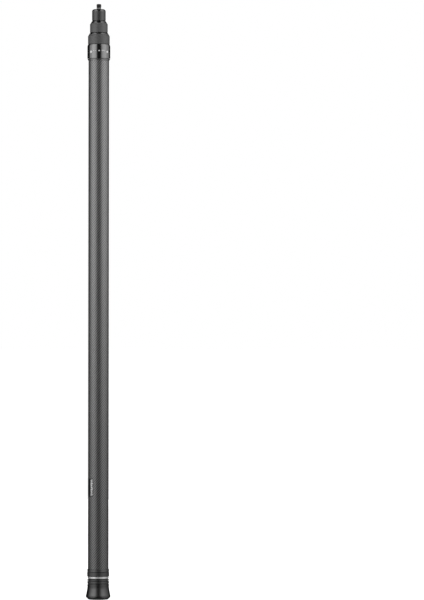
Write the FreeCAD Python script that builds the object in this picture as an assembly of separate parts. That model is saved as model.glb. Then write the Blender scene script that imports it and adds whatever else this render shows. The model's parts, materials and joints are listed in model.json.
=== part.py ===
import FreeCAD, Part
import math
import os

# A four-section telescopic boom pole, collapsed and standing on its rubber foot.
# Millimetres. +Z is the pole's axis, pointing at the microphone stud, and the origin is the
# middle of the foot's lower face. -Y is the front: the index dot faces it, a little to its right.

# Fits
RUN = 0.05  # radial clearance of a running fit
SLACK = 0.1  # radial clearance where a tube passes a sleeve without bearing on it
STOP_GAP = 0.05  # axial gap between faces that rest on each other

# The four tubes, outermost first
TUBE_R = (13.5, 11.25, 9.0, 6.75)
TUBE_WALL = 1.2

# Base: foot, flared end cap, grip ring, accent ring and base collar, from the floor up
FOOT_R = 14.2
FOOT_SHOWN = 2.1  # how far the rubber stands out of the cap
FOOT_ROUND = (3.0, 1.6)  # its rounded lower edge, as (radial, axial)
FOOT_PLUG_R = 12.5
FOOT_THICK = 4.2
SCREW_HEAD_R = 3.9
SCREW_HEAD_LOW = 1.0
SCREW_HEAD_HIGH = 2.6
SCREW_R = 2.0
SCREW_TOP = 11.0
SOCKET_SIDES = 6
SCREW_SOCKET_R = 1.25
SCREW_SOCKET_DEEP = 0.9
HEAD_POCKET_CLEAR = 0.3
RIM_LIP_R = 14.5
RIM_R = 16.15
RIM_Z = 4.5
RIM_SWELL = (0.4, -0.4)  # how far the rim's lower curve stands off its chord
RIM_ROUND = (0.12, 1.1)  # the rim's rolled upper edge, as (radial, axial)
FLARE_MID = (15.03, 10.3)  # the hollow of the flare
FLARE_TOP_Z = 15.4
CAP_R = 14.2
CAP_GROOVE_Z = 16.9
CAP_GROOVE_HALF = 0.25
CAP_GROOVE_DEEP = 0.3
CAP_TOP_Z = 20.6
CAP_EDGE = 0.35
CAVITY_R = 8.5
CAVITY_FLOOR_Z = 13.0
NECK_R = 11.9
NECK_TOP_Z = 27.7
STEM_R = 10.75
STEM_TOP_Z = 46.9
STEM_LEAD = 0.6
GRIP_LOW_Z = 20.7
GRIP_BEADS = ((21.0, 24.3), (24.9, 27.6))  # low and high edge of each bead
GRIP_LOW_ROUND = (0.15, 0.45)  # a bead's broken lower edge, as (radial, axial)
GRIP_HIGH_ROUND = ((0.15, 0.45), (0.7, 1.1))  # and each bead's upper one
GRIP_ROOT_R = 13.5
ORING_Z = 31.2
ORING_WIRE_R = 0.7
ORING_GROOVE_R = 9.35
ORING_GROOVE_HALF = 0.8
ACCENT_R = 13.7
ACCENT_HIGH_Z = 30.2
ACCENT_EDGE = 0.25
COLLAR_R = 14.45
COLLAR_LOW_Z = 30.25
COLLAR_HIGH_Z = 40.1
COLLAR_LIP = 1.6  # thickness of the lip that the tube's end stands on
COLLAR_EDGE = 0.7
COLLAR_GROOVE_Z = 38.3
COLLAR_GROOVE_HALF = 0.6
COLLAR_GROOVE_DEEP = 0.35
INSERT_TOP_Z = 48.9
BUMPER_THICK = 3.0
BUMPER_HOLE_R = 7.0

# Label wrapped round the outer tube, at its left as seen from -Y
LABEL_LOW_Z = 135.1
LABEL_HIGH_Z = 158.6
LABEL_THICK = 0.12
LABEL_FROM_DEG = 176.0
LABEL_SPAN_DEG = 66.0

# Lower ends of the three inner sections
PLUG_FLANGE = 1.5
PLUG_SPIGOT = 8.0
PLUG_HOLE_R = (5.0, 4.0, 3.0)
BUSH_ABOVE_TUBE_END = 3.0
BUSH_LONG = 22.0
BUSH_SLIT = 1.5

# Twist locks, outermost first: the nut's outer radius, its faces, and the cone on its upper end
# as (radial, axial)
NUT_R = (15.0, 14.2, 11.6)
NUT_LOW_Z = (708.35, 727.3, 742.45)
NUT_HIGH_Z = (726.95, 742.1, 757.6)
NUT_TOP_CUT = ((0.7, 2.7), (2.55, 4.5), (2.65, 4.4))
NUT_LOW_CUT = 0.25  # on the lower edge, both ways
THREAD_R = (12.8, 11.9, 9.6)
SHOULDER_Z = (706.0, 728.5, 743.7)  # top end of each outer tube, where its ferrule sits
FERRULE_FLANGE = 2.0  # only the outermost ferrule shows a flange
FERRULE_FLANGE_R = (14.1, 14.8)  # it widens upwards
FERRULE_FLANGE_EDGE = 0.2
FERRULE_DEEP = 20.0

# Inside every lock, as depths below the nut's top face
WIPER_HIGH = 0.6
WIPER_LOW = 1.6
CEILING = 2.1
WASHER_THICK = 0.65
COLLET_TOP = 2.85
COLLET_CONE = 1.5
COLLET_FACE = 6.6
COLLET_NOSE = 1.0
COLLET_BODY_INSET = 0.2  # collet body's radius is this much under the thread's
WIPER_WALL = 1.05
LIP_CLEAR = 0.3
WASHER_WALL = 0.95
NOSE_TIP_WALL = 0.35
NOSE_ROOT_WALL = 0.95
SEAT_CLEAR = 0.08
SLIT_COUNT = 4  # from each end, alternating
SLIT_WIDE = 1.2
SLIT_DEEP = 3.2

# Index dots let into the outermost nut: a small one in front, and the rest a little lower
DOT_COUNT = 8
DOT_TURN_DEG = 5.8  # from -Y to the front dot, counter-clockwise from above
FRONT_DOT_R = 0.9
FRONT_DOT_Z = 718.4
DOT_R = 1.5
DOT_Z = 716.8
DOT_DEEP = 0.5

# Head and microphone stud
HEAD_R = 8.9
HEAD_LOW_Z = 757.95
HEAD_HIGH_Z = 773.1
HEAD_TOP_ROUND = 2.8
HEAD_LOW_EDGE = 0.25
HEAD_SOCKET_Z = 768.0
STUD_R = 3.175
STUD_LOW_Z = 766.0
STUD_NECK_R = 2.9
STUD_THREAD_Z = 776.0
STUD_TOP_Z = 780.0
STUD_TOP_ROUND = 1.1

# Worked out from the dimensions above
BORE_R = tuple(radius - TUBE_WALL for radius in TUBE_R)
COLLAR_SEAT_Z = COLLAR_LOW_Z + COLLAR_LIP
BUMPER_TOP_Z = INSERT_TOP_Z + BUMPER_THICK
PLUG_PITCH = PLUG_FLANGE + PLUG_SPIGOT + STOP_GAP
TUBE_TOP_Z = SHOULDER_Z + (HEAD_SOCKET_Z,)


def at(height):
    """A point on the pole's axis."""
    return FreeCAD.Vector(0, 0, height)


def turned(outline):
    """A solid of revolution about the pole's axis.

    The outline is a closed list of (radius, height) points. A pair of points in place of a
    point is an arc that passes through the first one and ends at the second.
    """

    def corner(point):
        return FreeCAD.Vector(point[0], 0, point[1])

    edges = []
    here = corner(outline[0])
    for step in outline[1:] + [outline[0]]:
        if isinstance(step[0], tuple):
            there = corner(step[1])
            edges.append(Part.Arc(here, corner(step[0]), there).toShape())
        else:
            there = corner(step)
            edges.append(Part.LineSegment(here, there).toShape())
        here = there
    face = Part.Face(Part.Wire(edges))
    return face.revolve(at(0), FreeCAD.Vector(0, 0, 1), 360)


def ring(inner, outer, low, high):
    """A plain sleeve or washer."""
    return turned([(inner, low), (outer, low), (outer, high), (inner, high)])


def slit(outer, wide, low, high, turn):
    """A straight cut from the axis outwards, turned about the axis by an angle in degrees."""
    block = Part.makeBox(outer, wide, high - low, FreeCAD.Vector(0, -wide / 2, low))
    block.rotate(at(0), FreeCAD.Vector(0, 0, 1), turn)
    return block


def rubber_foot():
    """A round-edged rubber pad, plugged into the cap and recessed for the screw that holds it."""
    head_pocket = SCREW_HEAD_R + HEAD_POCKET_CLEAR
    inward, up = FOOT_ROUND
    curve = (inward**2 + up**2) / (2 * up)
    middle = math.asin(inward / curve) / 2
    return turned(
        [
            (SCREW_R, SCREW_HEAD_HIGH),
            (head_pocket, SCREW_HEAD_HIGH),
            (head_pocket, 0),
            (FOOT_R - inward, 0),
            ((FOOT_R - inward + curve * math.sin(middle), curve * (1 - math.cos(middle))), (FOOT_R, up)),
            (FOOT_R, FOOT_SHOWN),
            (FOOT_PLUG_R, FOOT_SHOWN),
            (FOOT_PLUG_R, FOOT_THICK),
            (SCREW_R, FOOT_THICK),
        ]
    )


def foot_screw():
    """A flat-head socket screw, up through the foot into the cap's floor."""
    screw = turned(
        [
            (0, SCREW_HEAD_LOW),
            (SCREW_HEAD_R, SCREW_HEAD_LOW),
            (SCREW_HEAD_R, SCREW_HEAD_HIGH),
            (SCREW_R, SCREW_HEAD_HIGH),
            (SCREW_R, SCREW_TOP),
            (0, SCREW_TOP),
        ]
    )
    corners = [2 * math.pi * k / SOCKET_SIDES for k in range(SOCKET_SIDES + 1)]
    socket = Part.makePolygon(
        [
            FreeCAD.Vector(SCREW_SOCKET_R * math.cos(a), SCREW_SOCKET_R * math.sin(a), SCREW_HEAD_LOW)
            for a in corners
        ]
    )
    return screw.cut(Part.Face(socket).extrude(at(SCREW_SOCKET_DEEP)))


def end_cap():
    """The flared aluminium cap: rim, flare, grooved barrel, neck and hollow threaded stem."""
    swell_r, swell_z = RIM_SWELL
    rim_swell = ((RIM_LIP_R + RIM_R) / 2 + swell_r, (FOOT_SHOWN + RIM_Z) / 2 + swell_z)
    inward, up = RIM_ROUND
    return turned(
        [
            (0, SCREW_TOP),
            (SCREW_R, SCREW_TOP),
            (SCREW_R, FOOT_THICK),
            (FOOT_PLUG_R, FOOT_THICK),
            (FOOT_PLUG_R, FOOT_SHOWN),
            (RIM_LIP_R, FOOT_SHOWN),
            (rim_swell, (RIM_R, RIM_Z)),
            (RIM_R - inward, RIM_Z + up),
            (FLARE_MID, (CAP_R, FLARE_TOP_Z)),
            (CAP_R, CAP_GROOVE_Z - CAP_GROOVE_HALF),
            (CAP_R - CAP_GROOVE_DEEP, CAP_GROOVE_Z),
            (CAP_R, CAP_GROOVE_Z + CAP_GROOVE_HALF),
            (CAP_R, CAP_TOP_Z - CAP_EDGE),
            (CAP_R - CAP_EDGE, CAP_TOP_Z),
            (NECK_R, CAP_TOP_Z),
            (NECK_R, NECK_TOP_Z),
            (STEM_R, NECK_TOP_Z),
            (STEM_R, ORING_Z - ORING_GROOVE_HALF),
            (ORING_GROOVE_R, ORING_Z - ORING_GROOVE_HALF),
            (ORING_GROOVE_R, ORING_Z + ORING_GROOVE_HALF),
            (STEM_R, ORING_Z + ORING_GROOVE_HALF),
            (STEM_R, STEM_TOP_Z - STEM_LEAD),
            (STEM_R - STEM_LEAD, STEM_TOP_Z),
            (CAVITY_R, STEM_TOP_Z),
            (CAVITY_R, CAVITY_FLOOR_Z),
            (0, CAVITY_FLOOR_Z),
        ]
    )


def cap_grip_ring():
    """A ring of two rounded beads pressed on the cap's neck."""
    outline = [(NECK_R, GRIP_LOW_Z), (GRIP_ROOT_R, GRIP_LOW_Z)]
    low_in, low_up = GRIP_LOW_ROUND
    for (low, high), (high_in, high_down) in zip(GRIP_BEADS, GRIP_HIGH_ROUND):
        outline += [
            (GRIP_ROOT_R, low),
            (CAP_R - low_in, low + low_up),
            (CAP_R, low + 2 * low_up),
            (CAP_R, high - high_down),
            (CAP_R - high_in, high),
            (GRIP_ROOT_R, high),
        ]
    del outline[-1]
    outline.append((NECK_R, GRIP_BEADS[-1][1]))
    return turned(outline)


def cap_oring():
    """The seal in the stem's groove."""
    centre_r = STEM_R - ORING_WIRE_R
    return Part.makeTorus(centre_r, ORING_WIRE_R, at(ORING_Z))


def accent_ring():
    """The bright washer between the cap and the base collar, free on the cap's stem."""
    low = NECK_TOP_Z + STOP_GAP
    return turned(
        [
            (STEM_R + RUN, low),
            (ACCENT_R - ACCENT_EDGE, low),
            (ACCENT_R, low + ACCENT_EDGE),
            (ACCENT_R, ACCENT_HIGH_Z - ACCENT_EDGE),
            (ACCENT_R - ACCENT_EDGE, ACCENT_HIGH_Z),
            (STEM_R + RUN, ACCENT_HIGH_Z),
        ]
    )


def base_collar():
    """The collar bonded round the outer tube's lower end, with a lip under the tube."""
    return turned(
        [
            (STEM_R + SLACK, COLLAR_LOW_Z),
            (COLLAR_R - COLLAR_EDGE, COLLAR_LOW_Z),
            (COLLAR_R, COLLAR_LOW_Z + COLLAR_EDGE),
            (COLLAR_R, COLLAR_GROOVE_Z - COLLAR_GROOVE_HALF),
            (COLLAR_R - COLLAR_GROOVE_DEEP, COLLAR_GROOVE_Z),
            (COLLAR_R, COLLAR_GROOVE_Z + COLLAR_GROOVE_HALF),
            (COLLAR_R, COLLAR_HIGH_Z - COLLAR_EDGE),
            (COLLAR_R - COLLAR_EDGE, COLLAR_HIGH_Z),
            (TUBE_R[0], COLLAR_HIGH_Z),
            (TUBE_R[0], COLLAR_SEAT_Z),
            (STEM_R + SLACK, COLLAR_SEAT_Z),
        ]
    )


def base_insert():
    """The internally threaded sleeve bonded in the outer tube's lower end."""
    return ring(STEM_R + RUN, BORE_R[0], COLLAR_SEAT_Z, INSERT_TOP_Z)


def base_bumper():
    """The rubber washer that the innermost parts land on when the pole is pushed shut."""
    return ring(BUMPER_HOLE_R, BORE_R[0], INSERT_TOP_Z, BUMPER_TOP_Z)


def grip_label():
    """A thin label bent round the outer tube."""
    band = ring(TUBE_R[0], TUBE_R[0] + LABEL_THICK, LABEL_LOW_Z, LABEL_HIGH_Z)
    reach = 2 * TUBE_R[0]
    tall = LABEL_HIGH_Z - LABEL_LOW_Z
    wedge = Part.makeCylinder(reach, tall, at(LABEL_LOW_Z), FreeCAD.Vector(0, 0, 1), LABEL_SPAN_DEG)
    wedge.rotate(at(0), FreeCAD.Vector(0, 0, 1), LABEL_FROM_DEG)
    return band.common(wedge)


def section_low_z(section):
    """Lowest height of an inner section: each one stands on the plug of the section around it."""
    return BUMPER_TOP_Z + STOP_GAP + (section - 1) * PLUG_PITCH


def tube(section):
    """One carbon tube. The outermost stands in the base collar, the others on their plugs."""
    low = section_low_z(section) + PLUG_FLANGE if section else COLLAR_SEAT_Z
    return ring(BORE_R[section], TUBE_R[section], low, TUBE_TOP_Z[section])


def bottom_plug(section):
    """The flanged sleeve that closes an inner tube's lower end, open in the middle."""
    low = section_low_z(section)
    hole = PLUG_HOLE_R[section - 1]
    return turned(
        [
            (hole, low),
            (TUBE_R[section] - SLACK, low),
            (TUBE_R[section] - SLACK, low + PLUG_FLANGE),
            (BORE_R[section], low + PLUG_FLANGE),
            (BORE_R[section], low + PLUG_FLANGE + PLUG_SPIGOT),
            (hole, low + PLUG_FLANGE + PLUG_SPIGOT),
        ]
    )


def guide_bush(section):
    """The split bush that guides an inner tube's lower end along the tube around it."""
    low = section_low_z(section) + PLUG_FLANGE + BUSH_ABOVE_TUBE_END
    outer = BORE_R[section - 1] - RUN
    bush = ring(TUBE_R[section], outer, low, low + BUSH_LONG)
    return bush.cut(slit(outer + 1, BUSH_SLIT, low, low + BUSH_LONG, 0))


def ferrule(lock):
    """The threaded sleeve bonded in a tube's upper end, with a coned seat for the collet."""
    bore = TUBE_R[lock + 1] + SLACK
    inner_r = TUBE_R[lock + 1]
    shoulder = SHOULDER_Z[lock]
    top = NUT_HIGH_Z[lock] - COLLET_FACE - SLACK
    flange = [(THREAD_R[lock], shoulder)]
    if lock == 0:
        flange_top = shoulder + FERRULE_FLANGE
        low_r, high_r = FERRULE_FLANGE_R
        flange = [
            (low_r - FERRULE_FLANGE_EDGE, shoulder),
            (low_r, shoulder + FERRULE_FLANGE_EDGE),
            (high_r, flange_top - FERRULE_FLANGE_EDGE),
            (high_r - FERRULE_FLANGE_EDGE, flange_top),
            (THREAD_R[lock], flange_top),
        ]
    return turned(
        [(bore, shoulder - FERRULE_DEEP), (BORE_R[lock], shoulder - FERRULE_DEEP), (BORE_R[lock], shoulder)]
        + flange
        + [
            (THREAD_R[lock], top),
            (inner_r + NOSE_ROOT_WALL + SEAT_CLEAR, top),
            (inner_r + NOSE_TIP_WALL + SEAT_CLEAR, top - COLLET_NOSE),
            (bore, top - COLLET_NOSE),
        ]
    )


def collet(lock):
    """The slit gripping ring: a coned nose below, a body, and a coned shoulder above."""
    inner_r = TUBE_R[lock + 1]
    body_r = THREAD_R[lock] - COLLET_BODY_INSET
    top = NUT_HIGH_Z[lock] - COLLET_TOP
    face = NUT_HIGH_Z[lock] - COLLET_FACE
    low = face - COLLET_NOSE
    grip = turned(
        [
            (inner_r + RUN, low),
            (inner_r + NOSE_TIP_WALL, low),
            (inner_r + NOSE_ROOT_WALL, face),
            (body_r, face),
            (body_r, top - COLLET_CONE),
            (inner_r + WASHER_WALL, top),
            (inner_r + RUN, top),
        ]
    )
    step = 360 / SLIT_COUNT
    for k in range(SLIT_COUNT):
        grip = grip.cut(slit(body_r + 1, SLIT_WIDE, low, low + SLIT_DEEP, k * step))
        grip = grip.cut(slit(body_r + 1, SLIT_WIDE, top - SLIT_DEEP, top, (k + 0.5) * step))
    return grip


def index_dots():
    """White dots let flush into the outermost nut, one at each eighth of a turn."""
    outer = NUT_R[0]
    skin = ring(outer - DOT_DEEP, outer, DOT_Z - 2 * DOT_R, DOT_Z + 2 * DOT_R)
    dots = []
    for k in range(DOT_COUNT):
        radius = DOT_R if k else FRONT_DOT_R
        middle = at(DOT_Z if k else FRONT_DOT_Z)
        peg = Part.makeCylinder(radius, outer, middle, FreeCAD.Vector(0, -1, 0))
        peg.rotate(middle, FreeCAD.Vector(0, 0, 1), DOT_TURN_DEG + 360 * k / DOT_COUNT)
        dots.append(peg.common(skin))
    return Part.makeCompound(dots)


def lock_nut(lock):
    """A smooth twist nut: threaded skirt, coned chamber, and a lip grooved for the wiper."""
    inner_r = TUBE_R[lock + 1]
    outer = NUT_R[lock]
    low = NUT_LOW_Z[lock]
    high = NUT_HIGH_Z[lock]
    top_in, top_down = NUT_TOP_CUT[lock]
    thread = THREAD_R[lock] + RUN
    lip = inner_r + LIP_CLEAR
    groove = inner_r + WIPER_WALL
    nut = turned(
        [
            (thread, low),
            (outer - NUT_LOW_CUT, low),
            (outer, low + NUT_LOW_CUT),
            (outer, high - top_down),
            (outer - top_in, high),
            (lip, high),
            (lip, high - WIPER_HIGH),
            (groove, high - WIPER_HIGH),
            (groove, high - WIPER_LOW),
            (lip, high - WIPER_LOW),
            (lip, high - CEILING),
            (inner_r + WASHER_WALL + SLACK, high - CEILING),
            (inner_r + WASHER_WALL + SLACK, high - COLLET_TOP),
            (thread, high - COLLET_TOP - COLLET_CONE),
        ]
    )
    return nut.cut(index_dots()) if lock == 0 else nut


def slip_washer(lock):
    """The slippery washer between the collet and the nut's ceiling."""
    inner_r = TUBE_R[lock + 1]
    top = NUT_HIGH_Z[lock] - CEILING - STOP_GAP
    return ring(inner_r + SLACK, inner_r + WASHER_WALL, top - WASHER_THICK, top)


def wiper_ring(lock):
    """The felt ring in the nut's lip that keeps grit off the tube."""
    inner_r = TUBE_R[lock + 1]
    high = NUT_HIGH_Z[lock]
    return ring(inner_r + RUN, inner_r + WIPER_WALL, high - WIPER_LOW, high - WIPER_HIGH)


def head_adapter():
    """The round-shouldered head bonded over the innermost tube, bored for the stud."""
    turn = HEAD_TOP_ROUND * math.sqrt(0.5)
    round_r = HEAD_R - HEAD_TOP_ROUND
    round_z = HEAD_HIGH_Z - HEAD_TOP_ROUND
    return turned(
        [
            (TUBE_R[-1], HEAD_LOW_Z),
            (HEAD_R - HEAD_LOW_EDGE, HEAD_LOW_Z),
            (HEAD_R, HEAD_LOW_Z + HEAD_LOW_EDGE),
            (HEAD_R, round_z),
            ((round_r + turn, round_z + turn), (round_r, HEAD_HIGH_Z)),
            (STUD_R, HEAD_HIGH_Z),
            (STUD_R, HEAD_SOCKET_Z),
            (TUBE_R[-1], HEAD_SOCKET_Z),
        ]
    )


def mic_stud():
    """The microphone stud: a shank fixed in the head, a bare neck and the threaded end."""
    turn = STUD_TOP_ROUND * math.sqrt(0.5)
    round_r = STUD_R - STUD_TOP_ROUND
    round_z = STUD_TOP_Z - STUD_TOP_ROUND
    return turned(
        [
            (0, STUD_LOW_Z),
            (STUD_R, STUD_LOW_Z),
            (STUD_R, HEAD_HIGH_Z),
            (STUD_NECK_R, HEAD_HIGH_Z),
            (STUD_NECK_R, STUD_THREAD_Z),
            (STUD_R, STUD_THREAD_Z),
            (STUD_R, round_z),
            ((round_r + turn, round_z + turn), (round_r, STUD_TOP_Z)),
            (0, STUD_TOP_Z),
        ]
    )


def all_nodes():
    """Every sub-part by name."""
    nodes = {
        "rubber_foot": rubber_foot(),
        "foot_screw": foot_screw(),
        "end_cap": end_cap(),
        "cap_grip_ring": cap_grip_ring(),
        "cap_oring": cap_oring(),
        "accent_ring": accent_ring(),
        "base_collar": base_collar(),
        "base_insert": base_insert(),
        "base_bumper": base_bumper(),
        "grip_label": grip_label(),
        "outer_tube": tube(0),
        "index_dots": index_dots(),
        "head_adapter": head_adapter(),
        "mic_stud": mic_stud(),
    }
    for section in range(1, len(TUBE_R)):
        nodes[f"section_{section + 1}_tube"] = tube(section)
        nodes[f"bottom_plug_{section + 1}"] = bottom_plug(section)
        nodes[f"guide_bush_{section + 1}"] = guide_bush(section)
    for lock in range(len(NUT_R)):
        nodes[f"ferrule_{lock + 1}"] = ferrule(lock)
        nodes[f"collet_{lock + 1}"] = collet(lock)
        nodes[f"lock_nut_{lock + 1}"] = lock_nut(lock)
        nodes[f"slip_washer_{lock + 1}"] = slip_washer(lock)
        nodes[f"wiper_ring_{lock + 1}"] = wiper_ring(lock)
    return nodes


os.makedirs("parts", exist_ok=True)
for name, shape in all_nodes().items():
    shape.exportStep(f"parts/{name}.step")
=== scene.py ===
import json
import math

import bpy
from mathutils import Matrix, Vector


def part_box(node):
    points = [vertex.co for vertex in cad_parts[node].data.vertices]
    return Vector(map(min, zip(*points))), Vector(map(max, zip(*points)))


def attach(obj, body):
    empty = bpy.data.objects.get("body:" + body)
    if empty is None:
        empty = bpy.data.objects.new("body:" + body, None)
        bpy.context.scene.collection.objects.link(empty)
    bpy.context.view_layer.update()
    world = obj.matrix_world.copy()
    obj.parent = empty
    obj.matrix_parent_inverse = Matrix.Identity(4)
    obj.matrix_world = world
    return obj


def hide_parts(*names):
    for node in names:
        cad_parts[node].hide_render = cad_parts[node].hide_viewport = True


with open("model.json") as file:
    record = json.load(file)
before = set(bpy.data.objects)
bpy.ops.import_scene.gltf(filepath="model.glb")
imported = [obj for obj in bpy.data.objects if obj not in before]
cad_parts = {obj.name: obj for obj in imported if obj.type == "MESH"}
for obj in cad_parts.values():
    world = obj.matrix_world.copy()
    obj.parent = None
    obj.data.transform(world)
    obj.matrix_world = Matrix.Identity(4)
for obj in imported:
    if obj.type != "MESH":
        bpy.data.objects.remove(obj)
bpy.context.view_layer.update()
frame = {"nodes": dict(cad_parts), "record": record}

# A collapsed telescopic boom pole standing on its rubber foot. Metres, in the frame of the
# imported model: +Z along the pole, -Y towards the viewer. Radii and heights come from the frame;
# what is named here is only the detail that the frame's boxes don't hold.

MM = 0.001
TURN = 2 * math.pi
ROUND_STEPS = 144  # sides of a turned piece
EDGE_STEPS = 4  # points along a broken edge
BROKEN = 0.12 * MM  # usual size of a broken edge
EDGE_SHARE = 0.45  # the most that a broken edge takes of each side that it joins
SMOOTH_TURN = math.radians(24)  # a corner that turns by less isn't an edge
PAST_END = 1.0 * MM  # how far a second finish is taken past the end that it covers

# Screw threads
THREAD_ROWS = 10  # rows of points in one turn
THREAD_RUN_OUT = 0.4  # share of the pitch over which a thread fades at each end
FLANK_SLOPE, FLANK_START = 3.6, 0.15  # how steeply a thread rises from its root, and how late

# Tubes and fits
TUBE_WALL = 1.2 * MM
TUBE_CLEAR = 0.1 * MM  # round a tube, inside the piece that guides it
RUN = 0.05 * MM  # round a running fit

# Foot and end cap
SCREW_R = 2.0 * MM
POCKET_R = 4.2 * MM
POCKET_UP = 2.6 * MM
FOOT_FLAT_IN = 3.0 * MM  # the foot's flat face ends this far inside its edge
FOOT_ROUND_UP = 1.6 * MM
FOOT_CURVE = (FOOT_FLAT_IN**2 + FOOT_ROUND_UP**2) / (2 * FOOT_ROUND_UP)  # radius of its round edge
FOOT_CURVE_STEPS = 8
FOOT_PLUG_R = 12.5 * MM
TREAD_FROM_R = 4.9 * MM
TREAD_RINGS = 5
TREAD_DEEP = 0.4 * MM
TREAD_GROOVE = (0.12, 0.38, 0.5)  # shares of a ring: the groove's floor from and to, and its far edge
RIM_LIP_IN = 1.65 * MM
RIM_UP = 2.4 * MM
RIM_SWELL = 0.4 * MM
RIM_ROUND = (0.12 * MM, 1.1 * MM)  # in from the rim, and up from it
FLARE_MID = (1.12 * MM, 5.8 * MM)  # in from the rim, and up from it
FLARE_UP = 10.9 * MM
CAP_GROOVE_DOWN = 3.8 * MM  # below the grip ring
CAP_GROOVE = (0.3 * MM, 0.25 * MM)  # depth and half width
CAP_EDGE = 0.35 * MM
CAP_GAP = 0.1 * MM
CAVITY_R = 8.5 * MM
CAVITY_FLOOR_UP = 2.0 * MM  # above the screw's end
NECK_R = 11.9 * MM
STEM_R = 10.75 * MM
STEM_THREAD_PITCH = 1.5 * MM
STEM_THREAD_DEEP = 0.85 * MM
STEM_THREAD_UP = 1.0 * MM  # above the seal's groove
SEAL_GROOVE_R = 9.35 * MM
SEAL_GROOVE_HALF = 0.8 * MM
BEADS = ((0.4 * MM, 3.4 * MM), (4.2 * MM, 5.9 * MM))  # up from the grip ring's lower face
BEAD_ROUND = (0.15 * MM, 0.45 * MM)  # inward, and along
BEAD_DEEP = 1.3 * MM

# Base collar
COLLAR_EDGE = 0.7 * MM
COLLAR_SLOT_UP = (5.7 * MM, 6.5 * MM)  # above the collar's lower face
COLLAR_SLOT_DEEP = 0.8 * MM
COLLAR_STEP_UP = (7.0 * MM, 8.4 * MM, 8.6 * MM)  # where the step starts, is deepest, and ends
COLLAR_STEP_IN = 0.35 * MM
COLLAR_LIP = 1.6 * MM  # under the tube's end

# Locks, with one value for each where they differ, outermost first
NUT_LOW_CUT = 0.25 * MM
NUT_TOP_CUT = ((0.7 * MM, 2.7 * MM), (2.55 * MM, 4.5 * MM), (2.65 * MM, 4.4 * MM))  # cone: radial, axial
NUT_TOP_EDGE = (0.5 * MM, 0.9 * MM, 1.0 * MM)  # the round edge at the cone's top
NUT_TURNED = (0.0, 1.8 * MM, 2.5 * MM)  # height of the smooth turned band under the top
LIP_CLEAR = 0.3 * MM
WIPER_WALL = 1.05 * MM
WIPER_DOWN = (0.6 * MM, 1.6 * MM)
CEILING_DOWN = 2.1 * MM
CONE_DOWN = (2.85 * MM, 4.35 * MM)
FLANGE = (0.7 * MM, 2.0 * MM, 0.2 * MM)  # how far it widens, its height, and its broken edges
LOCK_PITCH = 1.0 * MM
LOCK_THREAD_DEEP = 0.5 * MM
LOCK_THREAD_OUT = 0.2 * MM  # how far the thread stands out past the collet
SEAT_TIP, SEAT_ROOT, SEAT_DEEP = 0.43 * MM, 1.03 * MM, 1.0 * MM  # the collet's cone, round the inner tube

# Head and stud
HEAD_EDGE = 0.25 * MM
HEAD_ROUND = 2.8 * MM
STUD_SINK = 0.35 * MM
STUD_NECK_R = 2.9 * MM
STUD_NECK_UP = 2.9 * MM
STUD_PITCH = 1.27 * MM
STUD_THREAD_DEEP = 0.32 * MM
STUD_ROUND = 1.1 * MM  # height of the domed end
STUD_THREAD_INTO = 0.4  # share of the dome that the thread runs up
STUD_TIP = 0.3  # share of the core's radius that is flat on top

# Marks
DOT_COUNT = 8
DOT_TURN = math.radians(3.1)  # from the front to the small dot
FRONT_DOT_R, FRONT_DOT_UP = 0.9 * MM, 10.05 * MM  # radius, and height above the nut's lower face
DOT_R, DOT_UP = 1.65 * MM, 8.45 * MM
DOT_PROUD = 0.04 * MM
DASHES = ((-30.0, -15.0), (15.5, 33.0))  # degrees from the front
DASH_TALL, DASH_CORNER = 0.9 * MM, 0.3 * MM
LABEL_FROM, LABEL_SPAN = math.radians(176.0), math.radians(66.0)  # round the tube
LABEL_CORNER = 1.5 * MM
LABEL_THICK = 0.06 * MM
PRINT_THICK = 0.03 * MM
BAR_COUNT = 9
BAR_AT = math.radians(231.0)
BAR_FROM, BAR_STEP = 0.05, 0.102  # shares of the label's height
BAR_WIDE = (3.5 * MM, 2.9 * MM, 2.9 * MM)  # in turn
BAR_TALL, BAR_CORNER = 2.05 * MM, 0.2 * MM
BAR_SLANT = 0.35  # rise over run


def span(node):
    """Lowest height, highest height and outer radius of a turned node."""
    low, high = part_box(node)
    return low.z, high.z, high.x


# ---------------------------------------------------------------- mesh tools


def broken_edges(outline, radius=BROKEN, steps=EDGE_STEPS):
    """The closed outline with each sharp corner rounded over by up to that radius."""
    made = []
    count = len(outline)
    for k in range(count):
        around = [outline[(k + d) % count] for d in (-1, 0, 1)]
        if any(callable(point[0]) for point in around) or around[1][0] == 0:
            made.append(around[1])
            continue
        before, corner, after = (Vector(point) for point in around)
        back, ahead = before - corner, after - corner
        if math.pi - back.angle(ahead) < SMOOTH_TURN:
            made.append(around[1])
            continue
        start = corner + back * min(radius / back.length, EDGE_SHARE)
        end = corner + ahead * min(radius / ahead.length, EDGE_SHARE)
        for n in range(steps + 1):
            s = n / steps
            made.append(tuple(start * (1 - s) ** 2 + corner * 2 * s * (1 - s) + end * s**2))
    return made


def arc(start, middle, end, steps=12):
    """Points of a smooth curve from start through middle to end, without the first one."""
    a, m, b = Vector(start), Vector(middle), Vector(end)
    pull = m * 2 - (a + b) / 2
    points = []
    for n in range(1, steps + 1):
        s = n / steps
        points.append(tuple(a * (1 - s) ** 2 + pull * 2 * s * (1 - s) + b * s**2))
    return points


def quarter(start, end, steps=10):
    """A quarter of an ellipse that leaves start along the axis and meets end square to it."""
    points = []
    for n in range(1, steps + 1):
        a = TURN / 4 * n / steps
        radius = end[0] + (start[0] - end[0]) * math.cos(a)
        points.append((radius, start[1] + (end[1] - start[1]) * math.sin(a)))
    return points


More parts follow.
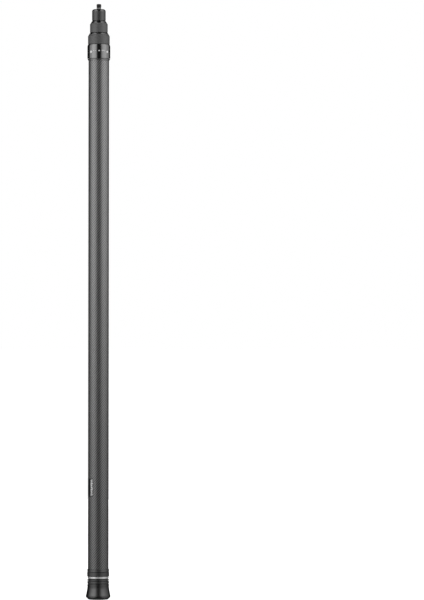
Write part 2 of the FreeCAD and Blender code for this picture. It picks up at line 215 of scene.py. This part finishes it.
def thread_rows(crest, depth, low, high, pitch):
    """Outline points of a right-handed screw thread that runs out at both ends."""
    count = round((high - low) / pitch * THREAD_ROWS)
    fade = THREAD_RUN_OUT * pitch

    def reach_at(height):
        run_out = min(1.0, (height - low) / fade, (high - height) / fade)

        def reach(angle):
            phase = ((height - low) / pitch - angle / TURN) % 1.0
            rise = FLANK_SLOPE * (0.5 - abs(phase - 0.5)) - FLANK_START
            flank = min(1.0, max(0.0, rise))
            return crest - depth + depth * flank * run_out

        return reach

    heights = [low + (high - low) * k / count for k in range(count + 1)]
    return [(reach_at(height), height) for height in heights]


def new_piece(name, points, faces):
    """An object from points and faces, smooth shaded, with normals weighted by face size."""
    mesh = bpy.data.meshes.new(name)
    mesh.from_pydata(points, [], faces)
    mesh.validate()
    mesh.shade_smooth()
    piece = bpy.data.objects.new(name, mesh)
    bpy.context.scene.collection.objects.link(piece)
    piece.modifiers.new("normals", "WEIGHTED_NORMAL")
    return piece


def turned(name, outline):
    """A closed solid of revolution from a closed (radius, height) outline.

    A radius may be a function of the angle. A corner on the axis becomes a single point.
    """
    points, rows = [], []
    for radius, height in outline:
        if radius == 0:
            rows.append([len(points)] * ROUND_STEPS)
            points.append((0, 0, height))
            continue
        rows.append(list(range(len(points), len(points) + ROUND_STEPS)))
        for n in range(ROUND_STEPS):
            angle = TURN * n / ROUND_STEPS
            reach = radius(angle) if callable(radius) else radius
            points.append((reach * math.cos(angle), reach * math.sin(angle), height))
    faces = []
    for low, high in zip(rows, rows[1:] + rows[:1]):
        for n in range(ROUND_STEPS):
            m = (n + 1) % ROUND_STEPS
            face = tuple(dict.fromkeys((low[n], low[m], high[m], high[n])))
            if len(face) > 2:
                faces.append(face)
    return new_piece(name, points, faces)


def bent_plates(name, radius, thick, plates):
    """Thin plates bent round the axis, as one piece.

    Each plate is the azimuth of its middle and its columns: (distance along the arc, low, high).
    """
    points, faces = [], []
    for azimuth, columns in plates:
        first = len(points)
        for along, low, high in columns:
            angle = azimuth + along / radius
            for reach in (radius - PRINT_THICK, radius + thick):
                for height in (low, high):
                    points.append((reach * math.cos(angle), reach * math.sin(angle), height))
        last = first + 4 * (len(columns) - 1)
        for a in range(first, last, 4):
            b = a + 4
            faces += [(a + 2, b + 2, b + 3, a + 3), (a, a + 1, b + 1, b), (a, b, b + 2, a + 2)]
            faces.append((a + 1, a + 3, b + 3, b + 1))
        faces += [(first, first + 2, first + 3, first + 1), (last, last + 1, last + 3, last + 2)]
    return new_piece(name, points, faces)


def disc_columns(radius, height, count=20):
    """Columns of a round plate."""
    columns = []
    for k in range(count):
        a = math.pi * (k + 0.5) / count
        half = radius * math.sin(a)
        columns.append((-radius * math.cos(a), height - half, height + half))
    return columns


def bar_columns(wide, low, high, corner, slant=0.0, count=24):
    """Columns of an upright bar with round corners, leaning by slant along its width."""
    columns = []
    for k in range(count + 1):
        along = wide * (k / count - 0.5)
        inside = max(0.0, abs(along) - (wide / 2 - corner))
        cut = corner - math.sqrt(max(0.0, corner**2 - inside**2))
        columns.append((along, low + cut + slant * along, high - cut + slant * along))
    return columns


def finish_piece(piece, body, slot, material, *replaced):
    """Puts a piece on its body with its material, in place of the CAD nodes it stands for."""
    piece.data.materials.append(material)
    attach(piece, body)
    if replaced:
        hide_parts(*replaced)


def second_finish(piece, material, low, high):
    """Another material on the faces between two heights."""
    if len(piece.data.materials) < 2:
        piece.data.materials.append(material)
    for face in piece.data.polygons:
        if low < face.center.z < high:
            face.material_index = 1


# ---------------------------------------------------------------- material tools


def new_material(name):
    """A new material, its node tree and its shader."""
    material = bpy.data.materials.new(name)
    material.use_nodes = True
    tree = material.node_tree
    return material, tree, tree.nodes["Principled BSDF"]


def node(tree, kind, inputs=None, **settings):
    """Adds a node, with its settings, and values or links on its inputs."""
    made = tree.nodes.new(kind)
    for key, value in settings.items():
        setattr(made, key, value)
    for key, value in (inputs or {}).items():
        if isinstance(value, bpy.types.NodeSocket):
            tree.links.new(value, made.inputs[key])
        else:
            made.inputs[key].default_value = value
    return made


def maths(tree, operation, a, b=0.0):
    """One operation as a node; returns its output."""
    return node(tree, "ShaderNodeMath", {0: a, 1: b}, operation=operation).outputs[0]


def blend_colour(tree, factor, first, second):
    """A colour between two, by a factor."""
    mix = node(tree, "ShaderNodeMix", {0: factor, 6: first, 7: second}, data_type="RGBA")
    return mix.outputs[2]


def object_place(tree):
    """Where a point is in its object's own frame."""
    return node(tree, "ShaderNodeTexCoord").outputs["Object"]


def noise(tree, scale, detail=3.0, stretch=(1, 1, 1)):
    """Noise in object space, stretched along the axes."""
    place = node(tree, "ShaderNodeMapping", {"Vector": object_place(tree), "Scale": stretch})
    inputs = {"Vector": place.outputs[0], "Scale": scale, "Detail": detail}
    return node(tree, "ShaderNodeTexNoise", inputs).outputs["Fac"]


def bump(tree, height, distance, strength, normal=None):
    """A normal raised by a height, on top of another normal if there is one."""
    inputs = {"Height": height, "Distance": distance, "Strength": strength}
    if normal is not None:
        inputs["Normal"] = normal
    return node(tree, "ShaderNodeBump", inputs).outputs[0]


def set_inputs(tree, shader, **inputs):
    """Values or links on the shader's inputs, with _ in the place of spaces."""
    for key, value in inputs.items():
        socket = shader.inputs[key.replace("_", " ")]
        if isinstance(value, bpy.types.NodeSocket):
            tree.links.new(value, socket)
        else:
            socket.default_value = value


def grey(value):
    """A neutral colour."""
    return (value, value, value, 1)


def ramp(tree, factor, low, high):
    """Maps a factor of 0 to 1 onto a range."""
    made = node(tree, "ShaderNodeMapRange", {"Value": factor, "To Min": low, "To Max": high})
    return made.outputs[0]


# ---------------------------------------------------------------- materials

TOW_AROUND = 0.78 * MM  # width of a lengthwise fibre bundle in the weave
TOW_ALONG = 0.86 * MM  # and of one that runs round the tube
TWILL = 4  # bundles in one repeat
HOOP_GREY, LENGTHWISE_GREY, STRAND_GREY = 0.06, 0.26, 0.13
STRAND_SHARE = 0.35  # the most of the strands' grey that shows over a bundle's
STRAND_SCALE, PATCH_SCALE = 900.0, 16.0  # noise, per metre
CROWN_BUMP = 0.06 * MM

CLOUD_SCALE = 60.0  # slow changes of shade on metal
SPECK_SCALE = 5200.0  # the skin that bead blasting leaves
MOTTLE_SCALE, PORE_SCALE = 90.0, 1500.0  # on rubber and plastic
BLACK_RINGS, BRIGHT_RINGS = (40, 40, 9000), (20, 20, 7000)  # noise drawn into the rings of turning
BLACK_RING_BUMP, BRIGHT_RING_BUMP = 0.004 * MM, 0.006 * MM
SPECK_BUMP, PORE_BUMP = 0.02 * MM, 0.03 * MM


def carbon(name, radius):
    """Twill carbon under a satin lacquer: bundles over two, under two, stepping up to the right."""
    material, tree, shader = new_material(name)
    repeats = round(TURN * radius / (TOW_AROUND * TWILL))
    split = node(tree, "ShaderNodeSeparateXYZ", {0: object_place(tree)})
    turn = maths(tree, "ARCTAN2", split.outputs[1], split.outputs[0])
    across = maths(tree, "MULTIPLY", turn, repeats * TWILL / TURN)
    along = maths(tree, "DIVIDE", split.outputs[2], TOW_ALONG)
    column = maths(tree, "FLOOR", across)
    row = maths(tree, "FLOOR", along)
    step = maths(tree, "FLOORED_MODULO", maths(tree, "SUBTRACT", column, row), TWILL)
    lengthwise = maths(tree, "LESS_THAN", step, TWILL / 2)

    def crown(place):
        """0 at a bundle's edges and 1 along its middle."""
        offset = maths(tree, "SUBTRACT", maths(tree, "FRACT", place), 0.5)
        square = maths(tree, "MULTIPLY", offset, offset)
        return maths(tree, "SUBTRACT", 1.0, maths(tree, "MULTIPLY", square, 4.0))

    height = node(tree, "ShaderNodeMix", {0: lengthwise, 2: crown(along), 3: crown(across)}).outputs[0]
    strand = noise(tree, STRAND_SCALE, detail=2.0)
    patch = noise(tree, PATCH_SCALE, detail=2.0)
    shade = blend_colour(tree, lengthwise, grey(HOOP_GREY), grey(LENGTHWISE_GREY))
    shade = blend_colour(tree, ramp(tree, strand, 0.0, STRAND_SHARE), shade, grey(STRAND_GREY))
    radial = node(tree, "ShaderNodeTangent", direction_type="RADIAL", axis="Z").outputs[0]
    set_inputs(
        tree,
        shader,
        Metallic=0.8,
        Base_Color=shade,
        Roughness=ramp(tree, patch, 0.34, 0.39),
        Anisotropic=0.6,
        Anisotropic_Rotation=ramp(tree, lengthwise, 0.25, 0.0),
        Tangent=radial,
        Normal=bump(tree, height, CROWN_BUMP, 0.5),
        Coat_Weight=1.0,
        Coat_Roughness=ramp(tree, patch, 0.2, 0.26),
        Coat_IOR=1.5,
    )
    return material


def anodised(name, colour, rough, metal=1.0, turned_marks=0.0, grain=0.0):
    """Black anodised aluminium: turned marks are fine rings, grain is a bead-blasted skin."""
    material, tree, shader = new_material(name)
    cloud = noise(tree, CLOUD_SCALE)
    rings = noise(tree, 1.0, detail=2.0, stretch=BLACK_RINGS)
    specks = noise(tree, SPECK_SCALE, detail=2.0)
    normal = bump(tree, rings, BLACK_RING_BUMP, turned_marks)
    normal = bump(tree, specks, SPECK_BUMP, grain, normal)
    set_inputs(
        tree,
        shader,
        Metallic=metal,
        Base_Color=blend_colour(tree, cloud, grey(colour * 0.9), grey(colour * 1.1)),
        Roughness=ramp(tree, cloud, rough * 0.9, rough * 1.12),
        Normal=normal,
    )
    return material


def bright_metal(name, colour, rough, metal=1.0):
    """Bare turned metal with fine rings."""
    material, tree, shader = new_material(name)
    rings = noise(tree, 1.0, stretch=BRIGHT_RINGS)
    set_inputs(
        tree,
        shader,
        Metallic=metal,
        Base_Color=blend_colour(tree, rings, grey(colour * 0.85), grey(colour)),
        Roughness=ramp(tree, rings, rough * 0.8, rough * 1.3),
        Normal=bump(tree, rings, BRIGHT_RING_BUMP, 0.5),
    )
    return material


def moulded(name, colour, rough, grain=0.3, scale=PORE_SCALE, specular=0.5):
    """Rubber, plastic or felt: a fine grain and slight mottling."""
    material, tree, shader = new_material(name)
    mottle = noise(tree, MOTTLE_SCALE, detail=4.0)
    pores = noise(tree, scale)
    dark = tuple(c * 0.8 for c in colour[:3]) + (1,)
    set_inputs(
        tree,
        shader,
        Base_Color=blend_colour(tree, mottle, dark, colour),
        Roughness=ramp(tree, pores, rough * 0.9, rough * 1.1),
        Specular_IOR_Level=specular,
        Normal=bump(tree, pores, PORE_BUMP, grain),
    )
    return material


polished_black = anodised("polished_black", 0.185, 0.13, turned_marks=0.15)
turned_black = anodised("turned_black", 0.12, 0.2, turned_marks=0.4)
neck_steel = anodised("neck_steel", 0.17, 0.25, turned_marks=0.4)
# bare metal, made lighter than that as a painted highlight where the flange would catch light from below
bare_edge_painted_highlight = anodised("bare_edge_painted_highlight", 0.38, 0.3, turned_marks=0.4)
matte_black = anodised("matte_black", 0.126, 0.56, metal=0.6, grain=0.5)
head_black = anodised("head_black", 0.088, 0.42, metal=0.85, grain=0.4)
satin_black = anodised("satin_black", 0.12, 0.38, metal=0.85, turned_marks=0.5)
flare_black = anodised("flare_black", 0.125, 0.3, turned_marks=0.5)
# near black, laid in gaps and slots as painted shade
painted_shade_black = anodised("painted_shade_black", 0.02, 0.5, grain=0.3)
oxide_black = anodised("oxide_black", 0.06, 0.4, grain=0.2)
bright_ring = bright_metal("bright_ring", 0.95, 0.42, metal=0.8)
plain_aluminium = bright_metal("plain_aluminium", 0.6, 0.3)
zinc_steel = bright_metal("zinc_steel", 0.5, 0.3)
foot_rubber = moulded("foot_rubber", grey(0.11), 0.8, grain=0.6, specular=0.02)
natural_acetal = moulded("natural_acetal", (0.55, 0.53, 0.48, 1), 0.35, grain=0.15)
black_felt = moulded("black_felt", grey(0.03), 0.95, grain=1.0, scale=2600.0)
label_black = moulded("label_black", grey(0.012), 0.3, grain=0.1)
print_white = moulded("print_white", grey(0.95), 0.45, grain=0.1)
print_grey = moulded("print_grey", grey(0.8), 0.45, grain=0.1)
dot_white = moulded("dot_white", grey(0.98), 0.25, grain=0.05)

# ---------------------------------------------------------------- the pole's pieces


def tube_name(section):
    """The node of a section's tube."""
    return "outer_tube" if section == 1 else f"section_{section}_tube"


def tube_piece(section, body):
    """A carbon tube with broken ends."""
    name = tube_name(section)
    low, high, radius = span(name)
    bore = radius - TUBE_WALL
    outline = [(bore, low), (radius, low), (radius, high), (bore, high)]
    piece = turned(f"{name}_shell", broken_edges(outline, 2 * BROKEN))
    finish_piece(piece, body, "carbon", carbon(f"twill_{name}", radius), name)


def thread_radius(number):
    """Radius of a lock's screw thread: its collet is a little slimmer."""
    return span(f"collet_{number}")[2] + LOCK_THREAD_OUT


def nut_piece(number, slot, material):
    """A lock nut: skirt, coned chamber, and a lip grooved for its wiper."""
    low, high, radius = span(f"lock_nut_{number}")
    inner = span(tube_name(number + 1))[2]
    thread = thread_radius(number) + RUN
    lip = inner + LIP_CLEAR
    groove = inner + WIPER_WALL
    top_in, top_down = NUT_TOP_CUT[number - 1]
    band = NUT_TURNED[number - 1]
    outside = [
        (radius - NUT_LOW_CUT, low),
        (radius, low + NUT_LOW_CUT),
        (radius, high - top_down),
        (radius - top_in, high),
    ]
    if band:
        outside.insert(3, (radius - top_in * (1 - band / top_down), high - band))
    inside = [
        (lip, high),
        (lip, high - WIPER_DOWN[0]),
        (groove, high - WIPER_DOWN[0]),
        (groove, high - WIPER_DOWN[1]),
        (lip, high - WIPER_DOWN[1]),
        (lip, high - CEILING_DOWN),
        (groove, high - CEILING_DOWN),
        (groove, high - CONE_DOWN[0]),
        (thread, high - CONE_DOWN[1]),
        (thread, low),
    ]
    corner = Vector(outside[-1])
    down = (Vector(outside[-2]) - corner).normalized()
    edge = NUT_TOP_EDGE[number - 1]
    start = corner + down * edge
    bend = corner + (down + Vector((-1, 0))) * edge / 4
    crown = arc(start, bend, corner - Vector((edge, 0)), steps=8)
    outline = broken_edges(outside[:-1] + [tuple(start)] + crown + inside)
    piece = turned(f"lock_nut_{number}_shell", outline)
    finish_piece(piece, f"lock_{number}_nut", slot, material, f"lock_nut_{number}")
    if band:
        second_finish(piece, turned_black, high - band, high + PAST_END)


def ferrule_piece(number, body):
    """The threaded sleeve in a tube's upper end, with its coned seat for the collet."""
    low, top, radius = span(f"ferrule_{number}")
    _, shoulder, tube_radius = span(tube_name(number))
    inner = span(tube_name(number + 1))[2]
    bonded, crest = tube_radius - TUBE_WALL, thread_radius(number)
    flanged = radius > crest + RUN
    wider, tall, edge = FLANGE
    start = shoulder + tall if flanged else shoulder
    outline = [(inner + TUBE_CLEAR, low), (bonded, low), (bonded, shoulder)]
    if flanged:
        outline += [(radius - wider - edge, shoulder), (radius - wider, shoulder + edge)]
        outline += [(radius, start - edge), (radius - edge, start)]
    outline += thread_rows(crest, LOCK_THREAD_DEEP, start, top, LOCK_PITCH)
    outline += [(inner + SEAT_ROOT, top), (inner + SEAT_TIP, top - SEAT_DEEP)]
    outline.append((inner + TUBE_CLEAR, top - SEAT_DEEP))
    piece = turned(f"ferrule_{number}_thread", broken_edges(outline))
    finish_piece(piece, body, "black_anodised", satin_black, f"ferrule_{number}")
    if flanged:
        # the flange is bare metal, made lighter as a painted highlight
        second_finish(piece, bare_edge_painted_highlight, shoulder, start)


def head_piece():
    """The round-shouldered head, countersunk a little round the stud."""
    low, high, radius = span("head_adapter")
    _, socket, tube_radius = span("section_4_tube")
    stud = span("mic_stud")[2]
    shoulder = (radius, high - HEAD_ROUND)
    outline = [(tube_radius, low), (radius - HEAD_EDGE, low), (radius, low + HEAD_EDGE), shoulder]
    outline += quarter(shoulder, (radius - HEAD_ROUND, high))
    outline += [(stud + STUD_SINK, high), (stud, high - STUD_SINK), (stud, socket), (tube_radius, socket)]
    piece = turned("head_shell", broken_edges(outline))
    finish_piece(piece, "section_4", "matte_anodised", head_black, "head_adapter")
    second_finish(piece, turned_black, high - HEAD_ROUND, high + PAST_END)


def stud_piece():
    """The stud: a shank, a bare neck, and a thread with a domed end."""
    low, high, radius = span("mic_stud")
    head_top = span("head_adapter")[1]
    neck_low, neck_top = head_top - STUD_SINK, head_top + STUD_NECK_UP
    thread_top = high - STUD_ROUND + STUD_THREAD_INTO * STUD_ROUND
    core = radius - STUD_THREAD_DEEP
    outline = [(0, low), (radius, low), (radius, neck_low), (STUD_NECK_R, neck_low), (STUD_NECK_R, neck_top)]
    outline += thread_rows(radius, STUD_THREAD_DEEP, neck_top, thread_top, STUD_PITCH)
    outline += quarter((core, thread_top), (STUD_TIP * core, high))
    outline.append((0, high))
    piece = turned("stud_thread", broken_edges(outline))
    finish_piece(piece, "section_4", "black_steel", oxide_black, "mic_stud")
    second_finish(piece, neck_steel, neck_low, neck_top)


def end_cap_piece():
    """The end cap: rim, flare, grooved barrel, neck, and hollow threaded stem."""
    low, top, radius = span("end_cap")
    grip_low, _, barrel = span("cap_grip_ring")
    foot_top, screw_top = span("rubber_foot")[1], span("foot_screw")[1]
    seal_low, seal_high, _ = span("cap_oring")
    seal = (seal_low + seal_high) / 2
    rim = low + RIM_UP
    lip = (radius - RIM_LIP_IN, low)
    swell = (radius - RIM_LIP_IN / 2 + RIM_SWELL, low + RIM_UP / 2 - RIM_SWELL)
    outline = [(0, screw_top), (SCREW_R, screw_top), (SCREW_R, foot_top)]
    outline += [(FOOT_PLUG_R, foot_top), (FOOT_PLUG_R, low), lip]
    outline += arc(lip, swell, (radius, rim))
    outline.append((radius - RIM_ROUND[0], rim + RIM_ROUND[1]))
    flare = (radius - FLARE_MID[0], rim + FLARE_MID[1])
    outline += arc(outline[-1], flare, (barrel, rim + FLARE_UP), steps=16)
    deep, half = CAP_GROOVE
    groove = grip_low - CAP_GROOVE_DOWN
    outline += [(barrel, groove - half), (barrel - deep, groove), (barrel, groove + half)]
    shoulder = grip_low - CAP_GAP
    seat = span("accent_ring")[0] - RUN
    outline += [(barrel, shoulder - CAP_EDGE), (barrel - CAP_EDGE, shoulder)]
    outline += [(NECK_R, shoulder), (NECK_R, seat), (STEM_R, seat), (STEM_R, seal - SEAL_GROOVE_HALF)]
    outline += [(SEAL_GROOVE_R, seal - SEAL_GROOVE_HALF), (SEAL_GROOVE_R, seal + SEAL_GROOVE_HALF)]
    outline.append((STEM_R, seal + SEAL_GROOVE_HALF))
    thread_low = seal + SEAL_GROOVE_HALF + STEM_THREAD_UP
    outline += [(STEM_R, thread_low - STEM_THREAD_UP / 2), (STEM_R - STEM_THREAD_DEEP, thread_low)]
    outline += thread_rows(STEM_R, STEM_THREAD_DEEP, thread_low, top, STEM_THREAD_PITCH)
    outline += [(CAVITY_R, top), (CAVITY_R, screw_top + CAVITY_FLOOR_UP), (0, screw_top + CAVITY_FLOOR_UP)]
    piece = turned("end_cap_shell", broken_edges(outline))
    finish_piece(piece, "base", "black_anodised", flare_black, "end_cap")


def grip_ring_piece():
    """Two rounded beads on one sleeve, with painted shade in the gaps between and beside them."""
    low, high, radius = span("cap_grip_ring")
    root = radius - BEAD_DEEP
    inward, along = BEAD_ROUND
    outline = [(NECK_R, low), (root, low)]
    for start, end in BEADS:
        a, b = low + start, low + end
        outline += [(root, a), (radius - inward, a), (radius, a + along)]
        outline += [(radius, b - along), (radius - inward, b), (root, b)]
    outline += [(root, high), (NECK_R, high)]
    piece = turned("grip_ring_shell", broken_edges(outline, steps=2))
    finish_piece(piece, "base", "black_anodised", satin_black, "cap_grip_ring")
    # the sleeve between and beside the beads is painted near-black: painted shade in the gaps
    gaps = [low] + [low + height for bead in BEADS for height in bead] + [high + PAST_END]
    for start, end in zip(gaps[0::2], gaps[1::2]):
        second_finish(piece, painted_shade_black, start - RUN, end + RUN)


def accent_ring_piece():
    """The bright ring between the end cap and the collar."""
    low, high, radius = span("accent_ring")
    bore = STEM_R + RUN
    outline = [(bore, low), (radius, low), (radius, high), (bore, high)]
    piece = turned("accent_ring_shell", broken_edges(outline, 2 * BROKEN))
    finish_piece(piece, "spacer_ring", "bright_aluminium", bright_ring, "accent_ring")


def base_collar_piece():
    """The collar round the tube's lower end, with its edge cuts, a slot painted near-black as painted shade,
    and a step.
    """
    low, high, radius = span("base_collar")
    tube_radius = span("outer_tube")[2]
    bore, seat = STEM_R + TUBE_CLEAR, low + COLLAR_LIP
    outline = [(bore, low), (radius - COLLAR_EDGE, low), (radius, low + COLLAR_EDGE)]
    slot_low, slot_high = (low + up for up in COLLAR_SLOT_UP)
    slot = radius - COLLAR_SLOT_DEEP
    outline += [(radius, slot_low), (slot, slot_low), (slot, slot_high), (radius, slot_high)]
    step_low, step_high, step_top = (low + up for up in COLLAR_STEP_UP)
    outline += [(radius, step_low), (radius - COLLAR_STEP_IN, step_high), (radius, step_top)]
    outline += [
        (radius, high - COLLAR_EDGE),
        (radius - COLLAR_EDGE, high),
        (tube_radius, high),
        (tube_radius, seat),
        (bore, seat),
    ]
    piece = turned("base_collar_shell", broken_edges(outline))
    finish_piece(piece, "outer_section", "black_anodised", satin_black, "base_collar")
    # the slot is painted near-black: painted shade
    second_finish(piece, painted_shade_black, slot_low, slot_high)


def foot_piece():
    """The rubber foot: a round-edged pad with rings in its tread, and a plug up into the cap."""
    low, high, radius = span("rubber_foot")
    pad_top = span("end_cap")[0]
    flat = radius - FOOT_FLAT_IN
    outline = [(SCREW_R, high), (SCREW_R, low + POCKET_UP), (POCKET_R, low + POCKET_UP), (POCKET_R, low)]
    width = (flat - TREAD_FROM_R) / TREAD_RINGS
    for k in range(TREAD_RINGS):
        start = TREAD_FROM_R + k * width
        floor_from, floor_to, far = (start + share * width for share in TREAD_GROOVE)
        outline += [(start, low), (floor_from, low + TREAD_DEEP), (floor_to, low + TREAD_DEEP), (far, low)]
    outline.append((flat, low))
    for n in range(1, FOOT_CURVE_STEPS + 1):
        a = math.asin(FOOT_FLAT_IN / FOOT_CURVE) * n / FOOT_CURVE_STEPS
        outline.append((flat + FOOT_CURVE * math.sin(a), low + FOOT_CURVE * (1 - math.cos(a))))
    outline += [(radius, pad_top), (FOOT_PLUG_R, pad_top), (FOOT_PLUG_R, high)]
    piece = turned("rubber_foot_tread", broken_edges(outline))
    finish_piece(piece, "base", "rubber", foot_rubber, "rubber_foot")


def index_marks():
    """White dots round the outermost nut, a small one in front, with a printed dash on each side of it."""
    low, _, radius = span("lock_nut_1")
    front = -TURN / 4
    plates = [(front + DOT_TURN, disc_columns(FRONT_DOT_R, low + FRONT_DOT_UP))]
    for k in range(1, DOT_COUNT):
        plates.append((front + DOT_TURN + TURN * k / DOT_COUNT, disc_columns(DOT_R, low + DOT_UP)))
    piece = bent_plates("index_dot_set", radius, DOT_PROUD, plates)
    finish_piece(piece, "lock_1_nut", "white_enamel", dot_white, "index_dots")
    plates = []
    middle = low + FRONT_DOT_UP
    for start, end in DASHES:
        wide = math.radians(end - start) * radius
        columns = bar_columns(wide, middle - DASH_TALL / 2, middle + DASH_TALL / 2, DASH_CORNER)
        plates.append((front + math.radians((start + end) / 2), columns))
    piece = bent_plates("index_dashes", radius, PRINT_THICK, plates)
    finish_piece(piece, "lock_1_nut", "white_enamel", print_grey)


def label_pieces():
    """A black film round the tube's left side, with plain printed marks that spell nothing."""
    low, high, _ = span("grip_label")
    radius = span("outer_tube")[2]
    film = bar_columns(LABEL_SPAN * radius, low, high, LABEL_CORNER, count=40)
    piece = bent_plates("label_sheet", radius, LABEL_THICK, [(LABEL_FROM + LABEL_SPAN / 2, film)])
    finish_piece(piece, "outer_section", "label_film", label_black, "grip_label")
    bars = []
    for k in range(BAR_COUNT):
        start = low + (high - low) * (BAR_FROM + BAR_STEP * k)
        wide = BAR_WIDE[k % len(BAR_WIDE)]
        bars.append((BAR_AT, bar_columns(wide, start, start + BAR_TALL, BAR_CORNER, BAR_SLANT)))
    piece = bent_plates("label_print", radius + LABEL_THICK, PRINT_THICK, bars)
    finish_piece(piece, "outer_section", "white_enamel", print_white)


BODIES = ("outer_section", "section_2", "section_3", "section_4")
for number, body in enumerate(BODIES, 1):
    tube_piece(number, body)
    if number < len(BODIES):
        ferrule_piece(number, body)
nut_piece(1, "gloss_anodised", polished_black)
nut_piece(2, "matte_anodised", matte_black)
nut_piece(3, "matte_anodised", matte_black)
head_piece()
stud_piece()
end_cap_piece()
grip_ring_piece()
accent_ring_piece()
base_collar_piece()
foot_piece()
index_marks()
label_pieces()

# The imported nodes' own materials, by slot. Pieces stand in for every carbon node.
CARRIED = {
    "plain_aluminium": plain_aluminium,
    "bright_aluminium": bright_ring,
    "black_anodised": satin_black,
    "matte_anodised": matte_black,
    "gloss_anodised": polished_black,
    "black_steel": oxide_black,
    "steel": zinc_steel,
    "rubber": foot_rubber,
    "acetal": natural_acetal,
    "felt": black_felt,
    "label_film": label_black,
    "white_enamel": dot_white,
    "carbon": matte_black,
}
for part in frame["record"]["subparts"]:
    carried = frame["nodes"][part["node"]]
    carried.data.materials.clear()
    carried.data.materials.append(CARRIED[part["material_slot"]])

# ---------------------------------------------------------------- stage, light and camera

CAMERA_BACK = 6.0  # from the pole's axis
CAMERA_ASIDE = 0.14865
CAMERA_UP = 0.3925
CAMERA_ROLL = -0.0013  # radians
VIEW_TALL = 0.786  # height that the picture takes in at the pole
SENSOR = 36.0
FAR_CLIP = 100.0

FLOOR_SIZE = 60.0
FLOOR_SHADES = (0.78, 0.8)
FLOOR_CLOUD_SCALE = 3.0
WORLD_FILL = 0.03

# Each wall of light: its level at places along Y, then the share of it at heights along Z
WALL_ASIDE = 1.0
WALL_LOW, WALL_HIGH = -1.2, 3.2
LEFT_STOPS = ((-4.2, 0.05), (-0.5, 1.8), (-0.2, 1.15), (0.05, 1.0), (0.35, 0.0))
LEFT_HEIGHTS = ((-1.1, 0.6), (-0.5, 0.36), (-0.1, 0.31), (0.6, 1.0))
RIGHT_STOPS = ((-3.0, 0.0), (-0.35, 1.7), (0.0, 1.2), (0.25, 0.95), (0.9, 0.0))
RIGHT_HEIGHTS = ((-1.1, 0.6), (-0.5, 0.34), (-0.1, 0.23), (0.15, 0.38), (0.6, 1.0))
REAR_BACK, REAR_WIDE, REAR_TALL, REAR_LEVEL = 3.0, 1.0, 2.4, 1.2


def pale_floor():
    """A white floor that glows, so it shows no shadow, and throws no light back at the pole."""
    bpy.ops.mesh.primitive_plane_add(size=FLOOR_SIZE)
    floor = bpy.context.object
    floor.name = "studio_floor"
    floor.visible_diffuse = False
    floor.visible_glossy = False
    floor.visible_shadow = False
    material, tree, shader = new_material("pale_floor")
    cloud = noise(tree, FLOOR_CLOUD_SCALE)
    set_inputs(
        tree,
        shader,
        Base_Color=blend_colour(tree, cloud, *map(grey, FLOOR_SHADES)),
        Roughness=0.8,
        Specular_IOR_Level=0.0,
        Emission_Color=grey(1.0),
        Emission_Strength=1.0,
    )
    floor.data.materials.append(material)


def white_world():
    """White where the camera looks past the object, and dim for the light that falls on it."""
    world = bpy.data.worlds.new("studio")
    bpy.context.scene.world = world
    world.use_nodes = True
    tree = world.node_tree
    tree.nodes.clear()
    seen = node(tree, "ShaderNodeLightPath").outputs["Is Camera Ray"]
    strength = ramp(tree, seen, WORLD_FILL, 1.0)
    background = node(tree, "ShaderNodeBackground", {"Color": (1, 1, 1, 1), "Strength": strength})
    node(tree, "ShaderNodeOutputWorld", {"Surface": background.outputs[0]})


def graded(tree, along, stops):
    """Level at a place along an axis, eased between (place, level) stops."""
    total = stops[0][1]
    for (a, low), (b, high) in zip(stops, stops[1:]):
        step = node(
            tree,
            "ShaderNodeMapRange",
            {"Value": along, "From Min": a, "From Max": b, "To Min": 0.0, "To Max": high - low},
            interpolation_type="SMOOTHSTEP",
        )
        total = maths(tree, "ADD", step.outputs[0], total)
    return total


def wall_of_light(name, x, stops, heights):
    """A soft wall square to X, facing the pole, graded along Y by its stops and along Z by its heights."""
    near, far = stops[0][0], stops[-1][0]
    light = bpy.data.lights.new(name, "AREA")
    light.shape = "RECTANGLE"
    light.size, light.size_y = WALL_HIGH - WALL_LOW, far - near
    light.energy = math.pi * light.size * light.size_y
    light.use_nodes = True
    tree = light.node_tree
    position = node(tree, "ShaderNodeNewGeometry").outputs["Position"]
    place = node(tree, "ShaderNodeSeparateXYZ", {0: position})
    across = graded(tree, place.outputs[1], stops)
    up = graded(tree, place.outputs[2], heights)
    tree.links.new(maths(tree, "MULTIPLY", across, up), tree.nodes["Emission"].inputs["Strength"])
    lamp = bpy.data.objects.new(name, light)
    lamp.location = (x, (near + far) / 2, (WALL_LOW + WALL_HIGH) / 2)
    lamp.rotation_euler = (0, math.copysign(math.pi / 2, x), 0)
    lamp.visible_camera = False
    bpy.context.scene.collection.objects.link(lamp)


def rear_light():
    """A soft panel far behind the pole, which shapes its back."""
    light = bpy.data.lights.new("rear_panel", "AREA")
    light.shape = "RECTANGLE"
    light.size, light.size_y = REAR_WIDE, REAR_TALL
    light.energy = REAR_LEVEL * math.pi * light.size * light.size_y
    lamp = bpy.data.objects.new("rear_panel", light)
    lamp.location = (0, REAR_BACK, CAMERA_UP)
    lamp.rotation_euler = (-TURN / 4, 0, 0)
    lamp.visible_camera = False
    bpy.context.scene.collection.objects.link(lamp)


def soft_light():
    """Two tall walls of soft light, one each side, with a dark gap between them in front and behind."""
    wall_of_light("left_wall", -WALL_ASIDE, LEFT_STOPS, LEFT_HEIGHTS)
    wall_of_light("right_wall", WALL_ASIDE, RIGHT_STOPS, RIGHT_HEIGHTS)


def camera():
    """Level with the pole's middle and a little to its right, far back."""
    data = bpy.data.cameras.new("camera")
    data.sensor_width = SENSOR
    data.lens = SENSOR * CAMERA_BACK / VIEW_TALL
    data.clip_end = FAR_CLIP
    view = bpy.data.objects.new("camera", data)
    view.location = (CAMERA_ASIDE, -CAMERA_BACK, CAMERA_UP)
    view.rotation_euler = (TURN / 4, CAMERA_ROLL, 0)
    bpy.context.scene.collection.objects.link(view)
    bpy.context.scene.camera = view


pale_floor()
white_world()
soft_light()
rear_light()
camera()
bpy.context.scene.view_settings.view_transform = "Standard"
